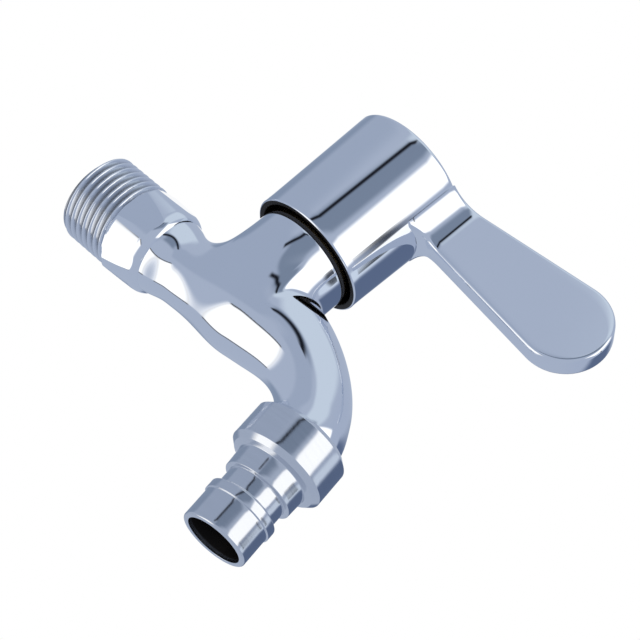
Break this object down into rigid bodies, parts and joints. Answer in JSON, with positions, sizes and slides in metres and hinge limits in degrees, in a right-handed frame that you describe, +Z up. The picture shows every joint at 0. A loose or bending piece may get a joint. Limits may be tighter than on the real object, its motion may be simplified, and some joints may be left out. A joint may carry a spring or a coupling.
{
  "type": "wall-mounted tap",
  "caption": "Quarter-turn wall tap with a threaded inlet, a cast curved spout, a bell handle with a lever, and a ribbed hose nozzle.",
  "frame": {"origin": "on the inlet thread's axis, at the wall-side face of the spanner hexagon, where the tap meets the wall", "axes": "+X along the inlet axis and out of the wall, +Z up along the valve axis, +Y to the left as seen from behind the tap"},
  "size_m": [0.1065, 0.0308, 0.0954],
  "materials": {
    "cast_chrome": "mirror chrome over cast brass",
    "handle_chrome": "mirror chrome over die-cast zinc",
    "turned_chrome": "chrome over turned brass",
    "brass": "turned",
    "rubber": "matte",
    "ceramic": "lapped white ceramic",
    "polymer": "moulded",
    "steel": "plain"
  },
  "bodies": {
    "tap_body": {"body": "cast_chrome", "headwork_housing": "brass", "housing_gasket": "rubber", "slip_washer": "polymer", "fixed_disc": "ceramic", "seat_seal": "rubber", "seal_backing_ring": "polymer", "hose_nozzle": "turned_chrome", "nozzle_washer": "rubber"},
    "turning_handle": {"handle": "handle_chrome", "spline_insert": "polymer", "handle_screw": "steel", "lock_washer": "steel", "handle_plug": "handle_chrome", "spindle": "brass", "upper_spindle_o_ring": "rubber", "lower_spindle_o_ring": "rubber", "spindle_clip": "steel", "rotating_disc": "ceramic"}
  },
  "joints": [
    {"name": "handle_turn", "type": "hinge", "parent": "tap_body", "child": "turning_handle", "pos_m": [0.0315, 0, 0.03], "axis": [0, 0, 1], "range_deg": [0, 90]}
  ]
}
